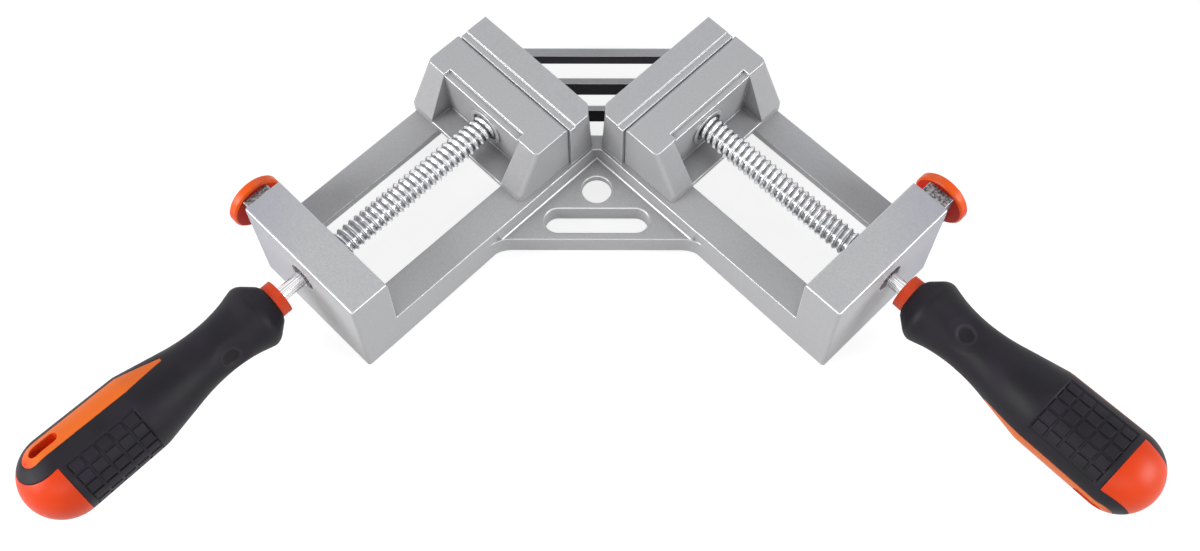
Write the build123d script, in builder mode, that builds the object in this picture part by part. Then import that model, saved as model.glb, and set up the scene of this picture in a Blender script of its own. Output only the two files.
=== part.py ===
from build123d import *
import os
from math import cos, radians, sin, sqrt

# Corner clamp: two clamp arms at right angles on one casting, each with its own screw
# Millimetres. X to the right, Y away from the user, Z up from the bench
# The origin is the corner where the two fixed jaw faces meet, at bench level
# In an arm: a runs outward along the screw, c along the jaw away from the corner

# Jaw faces and the fixed jaws
jaw_length = 66.0
jaw_setback = 15.0
fixed_jaw_depth = 14.0
fixed_jaw_top = 47.3
step_width = 2.9
step_drop = 0.8
nose_gap_top = 7.2
nose_gap_foot = 4.4
nose_round = 2.5
casting_wall = 4.0

# Rails of an arm, an inverted L each, with a window between them
rail_top = 19.7
rail_plate = 3.9
rail_wall = 3.5
near_rail_edge = 13.8
near_rail_width = 14.9
window_width = 38.7
far_rail_width = 14.5
rail_arch = 3.2

# Moving jaw and its travel
jaw_gap = 0.3
jaw_opening = 70.0
stop_gap = 1.4
moving_jaw_shift = 1.4
moving_jaw_top = 46.2
moving_jaw_depth = 28.5
head_depth = 17.6
gusset_width = 10.2
gusset_foot = 24.0
foot_height = 2.6
pocket_draft = 3.0
far_end_spread = 1.5
top_step_width = 3.4
top_step_drop = 1.2
face_ledge_width = 1.6
face_ledge_drop = 0.7
slide_gap = 0.1
guide_gap = 0.3
guide_length = 20.0
guide_start = 3.4
keeper_thickness = 2.5
keeper_overlap = 3.6
keeper_screw_radius = 2.0
keeper_screw_length = 9.0
keeper_screw_spacing = 19.0
keeper_shift = 0.55
keeper_head_radius = 3.8
keeper_head_depth = 1.5
keeper_key_radius = 1.3

# End block of an arm
block_depth = 18.0
block_top = 50.2
block_length = 65.3
block_core_top = 18.0

# Clamp screw and its retaining pin
screw_height = 34.0
screw_offset = 0.5
crest_radius = 5.8
bore_clearance = 0.65
thread_end_margin = 0.8
journal_radius = 4.6
journal_length = 13.0
journal_fit = 0.05
boss_radius = 8.6
boss_height = 1.0
counterbore_radius = 6.7
counterbore_depth = 1.4
shoulder_gap = 0.2
groove_radius = 3.4
groove_distance = 6.8
pin_radius = 1.5
pin_side_gap = 0.15
neck_radius = 3.1
tang_length = 44.0

# Handle, measured along the screw from the collar's outer end, where the grip starts
collar_start = 9.5
collar_length = 4.3
collar_radius = 7.3
front_lip = 1.4
front_radius = 10.5
flange_radius = 14.0
flange_distance = 7.5
waist_radius = 11.0
waist_distance = 29.0
swell_radius = 12.6
swell_distance = 44.8
belly_distance = 64.5
belly_radius = 16.5
belly_round = 16.0
cap_distance = 100.3
cap_radius = 17.0
grip_length = 117.5
grip_skin = 3.0
stripe_half_width = 5.3
stripe_tip_distance = 47.0
stripe_end_distance = 109.0
stripe_tip_radius = 0.8
band_half_width = 11.3
band_end_distance = 113.5
hang_slot_length = 12.5
hang_slot_width = 5.0
hang_slot_distance = 99.0
handle_seat = {"right": -2.0, "left": 2.0}
handle_roll = {"right": -105.0, "left": 25.0}

# Release slider, its knob, spring and stop pin
slider_width = 12.0
slider_height = 18.0
slider_gap = 0.2
release_travel = 4.0
nut_clearance = 0.3
slider_nose = 5.0
knob_radius = 12.0
knob_thickness = 4.5
knob_chamfer = 0.8
knob_stand_off = 12.1
knob_seat = {"right": 1.2, "left": -1.2}
knob_cover = 1.6
spring_length = 12.8
spring_radius = 3.6
spring_wire = 0.5
spring_turns = 4
spring_clearance = 0.5
spring_end_gap = 0.1
stop_pin_setback = 12.0
stop_pin_entry = 3.0

# Corner plate with its bench hole and slot, and the ribs behind it
plate_top = 13.0
plate_thickness = 3.3
plate_front = -21.9
plate_wall_draft = 11.0
skirt_height = 10.0
skirt_thickness = 3.0
corner_reach = 5.5
bench_hole_radius = 6.35
bench_hole_y = 2.0
slot_length = 44.0
slot_width = 11.4
slot_y = -12.9
slot_collar = 2.2
slot_depth = 9.0
web_depth = 5.4
web_height = 9.0
rib_places = ((65.3, 4.3, 5.7), (50.9, 3.1, 8.6), (37.3, 2.6, 8.9))

# Edge rounds of the castings
block_round = 1.2
edge_round = 0.5
step_round = 0.3
rim_chamfer = 0.4
jaw_corner_round = 2.2

# Distances that follow from the sizes above
near_rail_inner = near_rail_edge + near_rail_width
far_rail_inner = near_rail_inner + window_width
far_rail_edge = far_rail_inner + far_rail_width
jaw_far_end = jaw_setback + jaw_length
screw_c = jaw_setback + jaw_length / 2 - screw_offset
jaw_start = jaw_gap
moving_jaw_near = jaw_setback + moving_jaw_shift
moving_jaw_far = moving_jaw_near + jaw_length
jaw_foot = rail_top + slide_gap
foot_top = jaw_foot + foot_height
jaw_back = jaw_start + moving_jaw_depth
block_start = jaw_back + jaw_opening + stop_gap
block_end = block_start + block_depth
block_middle = block_start + block_depth / 2
block_far_end = near_rail_edge + block_length
guide_bottom = rail_top - rail_plate - guide_gap
keeper_bottom = guide_bottom - keeper_thickness
head_back = jaw_start + head_depth
boss_face = head_back + boss_height
shoulder = boss_face - counterbore_depth + shoulder_gap
thread_end = block_end - thread_end_margin
slider_bottom = screw_height - slider_height / 2
nut_radius = crest_radius + nut_clearance
slider_inner_end = screw_c - nut_radius - slider_nose
slider_pocket_end = slider_inner_end - release_travel - nut_clearance
spring_seat = slider_inner_end - spring_length
spring_bore_radius = spring_radius + spring_wire + spring_clearance
stop_pin_c = block_far_end - stop_pin_setback
apex_y = near_rail_edge * sqrt(2)

# Planes of the right arm
outward = Vector(1, -1, 0).normalized()
along_jaw = Vector(1, 1, 0).normalized()
arm = Plane(origin=(0, 0, 0), x_dir=outward, z_dir=(0, 0, 1))


def level(z):
    """Plane at height z, in which points are (a, c)."""
    return arm.offset(z)


def across(a):
    """Plane square to the screw at distance a, in which points are (c, z)."""
    return Plane(origin=outward * a, x_dir=along_jaw, z_dir=outward)


def beside(c):
    """Plane along the screw at distance c, in which points are (a, z)."""
    return Plane(origin=along_jaw * c, x_dir=outward, z_dir=-along_jaw)


def block_on(plane, low, high, amount, mode=Mode.ADD):
    """Rectangle between two corners of a plane, extruded by an amount."""
    with BuildSketch(plane) as outline:
        with Locations(((low[0] + high[0]) / 2, (low[1] + high[1]) / 2)):
            Rectangle(high[0] - low[0], high[1] - low[1])
    extrude(outline.sketch, amount=amount, mode=mode)


def arm_edges(piece, test):
    """Edges of a piece whose ends and middle all pass a test of (a, c, z), on either arm."""
    chosen = ShapeList()
    for edge in piece.edges():
        passes = True
        for share in (0, 0.5, 1):
            point = edge @ share
            folded = Vector(abs(point.X), point.Y, 0)
            if not test(folded.dot(outward), folded.dot(along_jaw), point.Z):
                passes = False
        if passes:
            chosen.append(edge)
    return chosen


def near(value, target):
    """True where a measured value is the wanted one."""
    return abs(value - target) < 0.02


def write(piece, name):
    """Labels a finished piece and writes it as one file."""
    piece.part.label = name
    export_step(piece.part, f"parts/{name}.step")


def write_one(piece, side, name):
    """Writes a piece of the right arm, or its mirror image for the left arm."""
    if side == "right":
        write(piece, f"right_{name}")
    else:
        with BuildPart() as mirrored:
            mirror(piece.part, about=Plane.YZ)
        write(mirrored, f"left_{name}")


def write_both(piece, name):
    """Writes a piece that is the same on both arms."""
    write_one(piece, "right", name)
    write_one(piece, "left", name)


os.makedirs("parts", exist_ok=True)

# Base casting: fixed jaws, rails, end blocks, corner plate and ribs in one piece
with BuildPart() as base_casting:
    # Near and far rail, from behind the jaw face to the end block
    rail_start = -near_rail_edge
    with BuildSketch(across(rail_start)):
        with BuildLine():
            Polyline(
                (near_rail_edge, 0),
                (near_rail_edge, rail_top),
                (near_rail_inner, rail_top),
                (near_rail_inner, rail_top - rail_plate),
                (near_rail_edge + rail_wall, rail_top - rail_plate),
                (near_rail_edge + rail_wall, 0),
                close=True,
            )
        make_face()
        with BuildLine():
            Polyline(
                (far_rail_edge, 0),
                (far_rail_edge, rail_top),
                (far_rail_inner, rail_top),
                (far_rail_inner, rail_top - rail_plate),
                (far_rail_edge - rail_wall, rail_top - rail_plate),
                (far_rail_edge - rail_wall, 0),
                close=True,
            )
        make_face()
    extrude(amount=block_start - rail_start)

    # Fixed jaw, hollow from below, with the low step along its face
    block_on(level(0), (-fixed_jaw_depth, jaw_setback), (0, jaw_far_end), fixed_jaw_top)
    block_on(
        level(fixed_jaw_top - step_drop),
        (-step_width, jaw_setback),
        (0, jaw_far_end),
        step_drop,
        Mode.SUBTRACT,
    )
    jaw_core_length = (jaw_length - 3 * casting_wall) / 2
    for core in (0, 1):
        core_start = jaw_setback + casting_wall + core * (jaw_core_length + casting_wall)
        block_on(
            level(0),
            (casting_wall - fixed_jaw_depth, core_start),
            (-casting_wall, core_start + jaw_core_length),
            fixed_jaw_top - casting_wall,
            Mode.SUBTRACT,
        )

    # End block, hollow from below up to the floor of the release pocket
    block_on(level(0), (block_start, near_rail_edge), (block_end, block_far_end), block_top)
    block_edges = base_casting.edges().filter_by_position(Axis.Z, block_top, block_top)
    corner_edges = (
        base_casting.edges()
        .filter_by(Axis.Z)
        .filter_by_position(Axis(arm.origin, outward), block_end - 0.01, block_end + 0.01)
    )
    fillet(block_edges + corner_edges, block_round)
    block_on(
        level(0),
        (block_start + casting_wall, near_rail_edge + casting_wall),
        (block_end - casting_wall, block_far_end - casting_wall),
        block_core_top,
        Mode.SUBTRACT,
    )

    # Screw bore through the end block
    with BuildSketch(across(block_start)):
        with Locations((screw_c, screw_height)):
            Circle(crest_radius + bore_clearance)
    extrude(amount=block_depth, mode=Mode.SUBTRACT)

    # Release pocket from the far end, the spring bore beyond it and the stop pin's hole
    pocket_width = slider_width + 2 * slider_gap
    pocket_height = slider_height + 2 * slider_gap
    block_on(
        beside(block_far_end),
        (block_middle - pocket_width / 2, screw_height - pocket_height / 2),
        (block_middle + pocket_width / 2, screw_height + pocket_height / 2),
        block_far_end - slider_pocket_end,
        Mode.SUBTRACT,
    )
    with BuildSketch(beside(slider_pocket_end)):
        with Locations((block_middle, screw_height)):
            Circle(spring_bore_radius)
    extrude(amount=slider_pocket_end - spring_seat, mode=Mode.SUBTRACT)
    with BuildSketch(level(block_core_top)):
        with Locations((block_middle, stop_pin_c)):
            Circle(pin_radius + journal_fit)
    extrude(amount=slider_bottom - block_core_top, mode=Mode.SUBTRACT)

    # Low arch under the near rail, which rises from the block to the corner
    arch_end = -plate_front - near_rail_edge
    with BuildSketch(beside(near_rail_edge + rail_wall)):
        with BuildLine():
            Polyline((block_start, 0), (arch_end, rail_arch), (arch_end, 0), close=True)
        make_face()
    extrude(amount=rail_wall, mode=Mode.SUBTRACT)

    # The left arm is the mirror image of the right one
    mirror(about=Plane.YZ)

    # Corner plate: a solid triangle between the arms, then the drafted recess in its top
    plate_bottom = plate_top - plate_thickness
    with BuildSketch(Plane.XY.offset(plate_bottom)):
        with BuildLine():
            Polyline(
                (0, apex_y),
                (apex_y - plate_front, plate_front),
                (plate_front - apex_y, plate_front),
                close=True,
            )
        make_face()
    extrude(amount=rail_top - plate_bottom)
    recess_front = 2 * plate_front
    with BuildSketch(Plane.XY.offset(rail_top)):
        with BuildLine():
            Polyline(
                (0, apex_y),
                (apex_y - recess_front, recess_front),
                (recess_front - apex_y, recess_front),
                close=True,
            )
        make_face()
    extrude(amount=plate_top - rail_top, taper=plate_wall_draft, mode=Mode.SUBTRACT)

    # Skirt under the front edge with its curved corners, and the collar round the slot
    skirt_bottom = plate_top - skirt_height
    skirt_reach = apex_y - plate_front
    block_on(
        Plane.XY.offset(skirt_bottom),
        (-skirt_reach, plate_front),
        (skirt_reach, plate_front + skirt_thickness),
        skirt_height - plate_thickness,
    )
    for turn in (-1, 1):
        inner_end = (turn * (skirt_reach - corner_reach), plate_front)
        outer_end = (
            turn * (skirt_reach + corner_reach * cos(radians(45))),
            plate_front - corner_reach * sin(radians(45)),
        )
        with BuildSketch(Plane.XY.offset(skirt_bottom)):
            with BuildLine():
                TangentArc(inner_end, outer_end, tangent=(turn, 0))
                Polyline(outer_end, (turn * skirt_reach, plate_front), inner_end)
            make_face()
        extrude(amount=skirt_height)
    with BuildSketch(Plane.XY.offset(plate_top - slot_depth)):
        with Locations((0, slot_y)):
            SlotOverall(slot_length + 2 * slot_collar, slot_width + 2 * slot_collar)
    extrude(amount=slot_depth - plate_thickness)
    with BuildSketch(Plane.XY):
        with Locations((0, slot_y)):
            SlotOverall(slot_length, slot_width)
        with Locations((0, bench_hole_y)):
            Circle(bench_hole_radius)
    extrude(amount=rail_top, mode=Mode.SUBTRACT)
    rims = base_casting.edges().filter_by_position(Axis.Z, plate_top, plate_top)
    rims = rims.filter_by_position(Axis.X, -slot_length / 2, slot_length / 2)
    hole_end = bench_hole_y + bench_hole_radius
    chamfer(rims.filter_by_position(Axis.Y, slot_y - slot_width / 2, hole_end), rim_chamfer)

    # Post where the rail walls meet, the web over it, and the ladder of ribs behind it
    block_on(
        Plane.XY,
        (-nose_gap_top / 2, apex_y - rail_wall / 2),
        (nose_gap_top / 2, apex_y + rail_wall),
        rail_top,
    )
    block_on(
        Plane.XY.offset(rail_top - web_height),
        (-nose_gap_top, apex_y - 0.5),
        (nose_gap_top, apex_y + web_depth),
        web_height,
    )
    rib_root = (fixed_jaw_depth - casting_wall / 2) * sqrt(2)
    for rib_y, rib_depth, rib_height in rib_places:
        rib_back = rib_y + rib_depth
        with BuildSketch(Plane.XY.offset(rail_top - rib_height)):
            with BuildLine():
                Polyline(
                    (rib_root - rib_y, rib_y),
                    (rib_y - rib_root, rib_y),
                    (min(rib_back - rib_root, jaw_far_end * sqrt(2) - rib_back), rib_back),
                    (max(rib_root - rib_back, rib_back - jaw_far_end * sqrt(2)), rib_back),
                    close=True,
                )
            make_face()
        extrude(amount=rib_height)

    # Drafted gap between the two noses, above the plate and the web
    with BuildSketch(Plane.XZ.offset(-apex_y + nose_gap_top)):
        with BuildLine():
            Polyline(
                (-nose_gap_foot / 2, rail_top),
                (-nose_gap_top / 2, fixed_jaw_top),
                (nose_gap_top / 2, fixed_jaw_top),
                (nose_gap_foot / 2, rail_top),
                close=True,
            )
        make_face()
    extrude(amount=-jaw_length / 2, mode=Mode.SUBTRACT)

    # Rounds of the noses, the jaw tops, the rails and the plate's openings
    def nose_edge(a, c, z):
        return near(a, -fixed_jaw_depth) and c < jaw_setback + nose_gap_top

    def jaw_top_edge(a, c, z):
        return near(z, fixed_jaw_top)

    def step_edge(a, c, z):
        return near(z, fixed_jaw_top - step_drop) and near(a, 0)

    def rail_edge(a, c, z):
        outer = near(c, near_rail_edge) and a > arch_end - 0.1
        inner = near(c, near_rail_inner) or near(c, far_rail_inner)
        return near(z, rail_top) and (outer or inner or near(c, far_rail_edge))

    upright = [edge for edge in arm_edges(base_casting, nose_edge) if abs((edge % 0.5).Z) > 0.9]
    fillet([edge for edge in upright if (edge @ 0.5).Z > rail_top], nose_round)
    fillet(arm_edges(base_casting, jaw_top_edge), edge_round)
    fillet(arm_edges(base_casting, step_edge), step_round)
    fillet(arm_edges(base_casting, rail_edge), edge_round)

write(base_casting, "base_casting")

# Moving jaw: a head with two gussets on a foot, and a guide that runs between the rails
with BuildPart() as moving_jaw:
    with BuildSketch(beside(moving_jaw_far + far_end_spread)):
        with BuildLine():
            Polyline(
                (jaw_start, jaw_foot),
                (jaw_start, moving_jaw_top - face_ledge_drop),
                (jaw_start + face_ledge_width, moving_jaw_top),
                (head_back, moving_jaw_top),
                (jaw_back, gusset_foot),
                (jaw_back, jaw_foot),
                close=True,
            )
        make_face()
    extrude(amount=jaw_length + far_end_spread)
    with BuildSketch(across(jaw_start)):
        with BuildLine():
            Polyline(
                (moving_jaw_far, moving_jaw_top),
                (moving_jaw_far + far_end_spread, gusset_foot),
                (moving_jaw_far + 2 * far_end_spread, gusset_foot),
                (moving_jaw_far + 2 * far_end_spread, moving_jaw_top),
                close=True,
            )
        make_face()
    extrude(amount=moving_jaw_depth, mode=Mode.SUBTRACT)

    def gusset_corner(a, c, z):
        at_end = near(c, moving_jaw_near) or c > moving_jaw_far - 0.02
        return at_end and a > head_back - 0.1

    fillet(arm_edges(moving_jaw, gusset_corner), jaw_corner_round)
    fillet(moving_jaw.faces().sort_by(Axis.Z)[-1].edges(), edge_round)

    # Pocket between the gussets, drafted at its sides, and the shallow step in the top
    pocket_near = moving_jaw_near + gusset_width
    pocket_far = moving_jaw_far - gusset_width
    side_draft = (moving_jaw_top - foot_top) * sin(radians(pocket_draft))
    with BuildSketch(across(head_back)):
        with BuildLine():
            Polyline(
                (pocket_near, moving_jaw_top),
                (pocket_far, moving_jaw_top),
                (pocket_far - side_draft, foot_top),
                (pocket_near + side_draft, foot_top),
                close=True,
            )
        make_face()
    extrude(amount=moving_jaw_depth, mode=Mode.SUBTRACT)
    block_on(
        level(moving_jaw_top - top_step_drop),
        (head_back - top_step_width, pocket_near + top_step_drop),
        (head_back, pocket_far),
        top_step_drop,
        Mode.SUBTRACT,
    )

    # Boss that takes the screw's journal
    with BuildSketch(across(head_back)):
        with Locations((screw_c, screw_height)):
            Circle(boss_radius)
    extrude(amount=boss_height)
    with BuildSketch(across(boss_face)):
        with Locations((screw_c, screw_height)):
            Circle(counterbore_radius)
    extrude(amount=-counterbore_depth, mode=Mode.SUBTRACT)
    with BuildSketch(across(boss_face)):
        with Locations((screw_c, screw_height)):
            Circle(journal_radius + journal_fit)
    extrude(amount=-journal_length - counterbore_depth, mode=Mode.SUBTRACT)

    # Guide between the rails, with the holes of the retaining pin and the keeper screws
    block_on(
        level(guide_bottom),
        (guide_start, near_rail_inner + guide_gap),
        (guide_start + guide_length, far_rail_inner - guide_gap),
        jaw_foot - guide_bottom,
    )
    pin_a = shoulder - groove_distance
    pin_c = screw_c - groove_radius - pin_radius - pin_side_gap
    with BuildSketch(level(guide_bottom)):
        with Locations((pin_a, pin_c)):
            Circle(pin_radius + journal_fit)
    extrude(amount=screw_height + journal_radius + pin_radius - guide_bottom, mode=Mode.SUBTRACT)
    keeper_a = guide_start + guide_length / 2
    keeper_c = screw_c + keeper_shift
    screw_spots = [
        (keeper_a, keeper_c - keeper_screw_spacing / 2),
        (keeper_a, keeper_c + keeper_screw_spacing / 2),
    ]
    with BuildSketch(level(guide_bottom)):
        with Locations(*screw_spots):
            Circle(keeper_screw_radius + journal_fit)
    extrude(amount=keeper_screw_length - keeper_thickness + guide_gap, mode=Mode.SUBTRACT)

write_both(moving_jaw, "moving_jaw")

# Retaining pin: stands beside the screw's groove and keeps the screw in the jaw
with BuildPart() as retaining_pin:
    with BuildSketch(level(guide_bottom)):
        with Locations((pin_a, pin_c)):
            Circle(pin_radius)
    extrude(amount=screw_height + journal_radius - guide_bottom)
write_both(retaining_pin, "retaining_pin")

# Keeper plate: a steel strip under both rails that holds the moving jaw down
with BuildPart() as keeper_plate:
    block_on(
        level(keeper_bottom),
        (guide_start, near_rail_inner - keeper_overlap),
        (guide_start + guide_length, far_rail_inner + keeper_overlap),
        keeper_thickness,
    )
    with BuildSketch(level(keeper_bottom)):
        with Locations(*screw_spots):
            Circle(keeper_screw_radius + journal_fit)
    extrude(amount=keeper_thickness, mode=Mode.SUBTRACT)
    with BuildSketch(level(keeper_bottom)):
        with Locations(*screw_spots):
            Circle(keeper_head_radius + journal_fit)
    extrude(amount=keeper_head_depth, mode=Mode.SUBTRACT)
write_both(keeper_plate, "keeper_plate")

# Keeper screws: two cap screws from below into the guide
with BuildPart() as keeper_screws:
    with BuildSketch(level(keeper_bottom)):
        with Locations(*screw_spots):
            Circle(keeper_screw_radius)
    extrude(amount=keeper_screw_length)
    with BuildSketch(level(keeper_bottom)):
        with Locations(*screw_spots):
            Circle(keeper_head_radius)
    extrude(amount=keeper_head_depth)
    with BuildSketch(level(keeper_bottom)):
        with Locations(*screw_spots):
            RegularPolygon(keeper_key_radius, 6)
    extrude(amount=keeper_head_depth / 2, mode=Mode.SUBTRACT)
write_both(keeper_screws, "keeper_screws")

# Clamp screw: journal with its groove, threaded length at crest size, neck and tang
with BuildPart() as clamp_screw:
    journal_end = shoulder - journal_length + shoulder_gap
    groove_half = pin_radius + pin_side_gap
    tang_end = block_end + collar_start + tang_length
    with BuildSketch(beside(screw_c)):
        with BuildLine():
            Polyline(
                (journal_end, screw_height),
                (journal_end, screw_height + journal_radius),
                (pin_a - groove_half, screw_height + journal_radius),
                (pin_a - groove_half, screw_height + groove_radius),
                (pin_a + groove_half, screw_height + groove_radius),
                (pin_a + groove_half, screw_height + journal_radius),
                (shoulder, screw_height + journal_radius),
                (shoulder, screw_height + crest_radius),
                (thread_end - crest_radius + journal_radius, screw_height + crest_radius),
                (thread_end, screw_height + journal_radius),
                (thread_end, screw_height + neck_radius),
                (tang_end, screw_height + neck_radius),
                (tang_end, screw_height),
                close=True,
            )
        make_face()
    screw_axis = Axis(outward * 0 + along_jaw * screw_c + Vector(0, 0, screw_height), outward)
    revolve(axis=screw_axis)
write_both(clamp_screw, "clamp_screw")


def handle_plane(side):
    """Plane square to the screw where a side's handle starts, turned with its stripe."""
    mirror_x = 1 if side == "right" else -1
    start = block_end + collar_start + handle_seat[side]
    roll = radians(handle_roll[side])
    out = Vector(mirror_x * outward.X, outward.Y, 0)
    far = Vector(mirror_x * along_jaw.X, along_jaw.Y, 0)
    origin = out * start + far * screw_c + Vector(0, 0, screw_height)
    stripe = Vector(0, 0, 1) * cos(roll) + far * sin(roll)
    return Plane(origin=origin, x_dir=stripe, z_dir=out)


def handle_body(shaft, skin):
    """Solid of revolution of the handle, with its surface moved in by a skin thickness."""
    front = (front_radius - skin, collar_length + front_lip)
    peak = (flange_radius - skin, collar_length + flange_distance)
    waist = (waist_radius - skin, collar_length + waist_distance)
    middle = ((peak[0] + waist[0]) / 2, (peak[1] + waist[1]) / 2)
    swell = (swell_radius - skin, collar_length + swell_distance)
    belly = (belly_radius - skin, collar_length + belly_distance)
    dome_foot = (cap_radius - skin, collar_length + cap_distance)
    dome_rise = grip_length - cap_distance - skin
    dome_radius = (dome_rise**2 + dome_foot[0] ** 2) / (2 * dome_rise)
    section = Plane(origin=shaft.origin, x_dir=shaft.x_dir, z_dir=-shaft.y_dir)
    with BuildPart() as body:
        with BuildSketch(section) as half:
            with BuildLine():
                Polyline((0, collar_length), (collar_radius, collar_length), front)
                if skin:
                    Polyline(front, waist, swell)
                else:
                    TangentArc(peak, front, tangent=(0, -1))
                    TangentArc(peak, middle, tangent=(0, 1))
                    TangentArc(waist, middle, tangent=(0, -1))
                    TangentArc(waist, swell, tangent=(0, 1))
                Polyline(swell, belly, dome_foot)
                dome = RadiusArc(dome_foot, (0, dome_foot[1] + dome_rise), -dome_radius)
                Line(dome @ 1, (0, collar_length))
            make_face()
            if not skin:
                bend = half.vertices().sort_by_distance(belly)[0]
                fillet(bend, belly_round)
        revolve(axis=Axis(shaft.origin, shaft.z_dir))
    return body


def stripe_outline(half, end):
    """Outline of a long stripe with a pointed start and a round end, in (distance, width)."""
    end_centre = end - half + collar_length
    belly = belly_distance + collar_length
    tip = stripe_tip_distance + collar_length
    with BuildLine() as outline:
        upper = Line((tip, stripe_tip_radius), (belly, half))
        side = Line(upper @ 1, (end_centre, half))
        RadiusArc(side @ 1, (end_centre, -half), half)
        lower = Line((end_centre, -half), (belly, -half))
        Line(lower @ 1, (tip, -stripe_tip_radius))
        Line((tip, -stripe_tip_radius), (tip, stripe_tip_radius))
    return outline


for side in ("right", "left"):
    shaft = handle_plane(side)
    stripe_plane = Plane(origin=shaft.origin, x_dir=shaft.z_dir, z_dir=shaft.x_dir)
    outer = handle_body(shaft, 0)
    inner = handle_body(shaft, grip_skin)
    reach = 2 * cap_radius

    # Coloured surface of the core: both stripes, and the cap without the band round them
    with BuildPart() as stripes:
        with BuildSketch(stripe_plane):
            add(stripe_outline(stripe_half_width, stripe_end_distance).line)
            make_face()
        extrude(amount=reach, both=True)
    with BuildPart() as cap:
        with BuildSketch(shaft.offset(cap_distance + collar_length)):
            Circle(reach)
        extrude(amount=reach)
        with BuildSketch(stripe_plane):
            add(stripe_outline(band_half_width, band_end_distance).line)
            make_face()
        extrude(amount=reach, both=True, mode=Mode.SUBTRACT)
        add(stripes.part)
        add(outer.part, mode=Mode.INTERSECT)

    # Handle core: the hard plastic inside, with the collar, the stripes and the end cap
    with BuildPart() as handle_core:
        add(inner.part)
        add(cap.part)
        with BuildSketch(shaft):
            Circle(collar_radius)
        extrude(amount=collar_length + grip_skin)
        with BuildSketch(stripe_plane):
            with Locations((hang_slot_distance + collar_length, 0)):
                SlotOverall(hang_slot_length, hang_slot_width)
        extrude(amount=reach, both=True, mode=Mode.SUBTRACT)
        with BuildSketch(shaft):
            Circle(neck_radius + journal_fit)
        extrude(amount=tang_length - handle_seat[side] + journal_fit, mode=Mode.SUBTRACT)
    write(handle_core, f"{side}_handle_core")

    # Handle grip: the soft skin moulded over the core
    with BuildPart() as handle_grip:
        add(outer.part)
        add(inner.part, mode=Mode.SUBTRACT)
        add(cap.part, mode=Mode.SUBTRACT)
        with BuildSketch(shaft):
            Circle(collar_radius)
        extrude(amount=collar_length + grip_skin, mode=Mode.SUBTRACT)
    write(handle_grip, f"{side}_handle_grip")

for side in ("right", "left"):
    knob_face = block_far_end + knob_stand_off + knob_seat[side]
    slider_outer_end = knob_face - knob_cover

    # Release slider: a bar across the end block whose long hole carries the half nut
    with BuildPart() as release_slider:
        block_on(
            beside(slider_outer_end),
            (block_middle - slider_width / 2, slider_bottom),
            (block_middle + slider_width / 2, slider_bottom + slider_height),
            slider_outer_end - slider_inner_end,
        )
        with BuildSketch(across(block_start)):
            with Locations((screw_c + release_travel / 2, screw_height)):
                SlotOverall(2 * nut_radius + release_travel, 2 * nut_radius)
        extrude(amount=block_depth, mode=Mode.SUBTRACT)
        stop_slot = release_travel + 2 * (pin_radius + nut_clearance)
        with BuildSketch(level(slider_bottom)):
            with Locations((block_middle, stop_pin_c + release_travel / 2)):
                SlotOverall(stop_slot, 2 * (pin_radius + nut_clearance), rotation=90)
        extrude(amount=stop_pin_entry + nut_clearance, mode=Mode.SUBTRACT)
    write_one(release_slider, side, "release_slider")

    # Release knob: a plastic disc whose socket takes the slider's end
    with BuildPart() as release_knob:
        with BuildSketch(beside(knob_face)):
            with Locations((block_middle, screw_height)):
                Circle(knob_radius)
        extrude(amount=knob_thickness)
        rim = release_knob.edges().filter_by(GeomType.CIRCLE)
        chamfer(rim, knob_chamfer)
        block_on(
            beside(slider_outer_end),
            (block_middle - slider_width / 2, slider_bottom),
            (block_middle + slider_width / 2, slider_bottom + slider_height),
            knob_thickness,
            Mode.SUBTRACT,
        )
    write_one(release_knob, side, "release_knob")

# Stop pin: pressed up into the end block, its tip runs in the slider's slot
with BuildPart() as stop_pin:
    with BuildSketch(level(block_core_top)):
        with Locations((block_middle, stop_pin_c)):
            Circle(pin_radius)
    extrude(amount=slider_bottom + stop_pin_entry - block_core_top)
write_both(stop_pin, "release_stop_pin")

# Release spring: pushes the slider back out to the far end
with BuildPart() as release_spring:
    coil_start = spring_seat + spring_wire + spring_end_gap
    coil_length = spring_length - 2 * (spring_wire + spring_end_gap)
    coil_origin = outward * block_middle + along_jaw * coil_start + Vector(0, 0, screw_height)
    with BuildLine() as coil:
        Helix(
            pitch=coil_length / spring_turns,
            height=coil_length,
            radius=spring_radius,
            center=coil_origin,
            direction=along_jaw,
        )
    with BuildSketch(Plane(origin=coil.line @ 0, x_dir=along_jaw, z_dir=coil.line % 0)):
        Rectangle(2 * spring_wire, 2 * spring_wire)
    sweep(path=coil.line, is_frenet=True)
write_both(release_spring, "release_spring")
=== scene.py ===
from math import asin, cos, pi, radians, sin, sqrt

import bmesh
import bpy
from mathutils import Matrix, Vector


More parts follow.
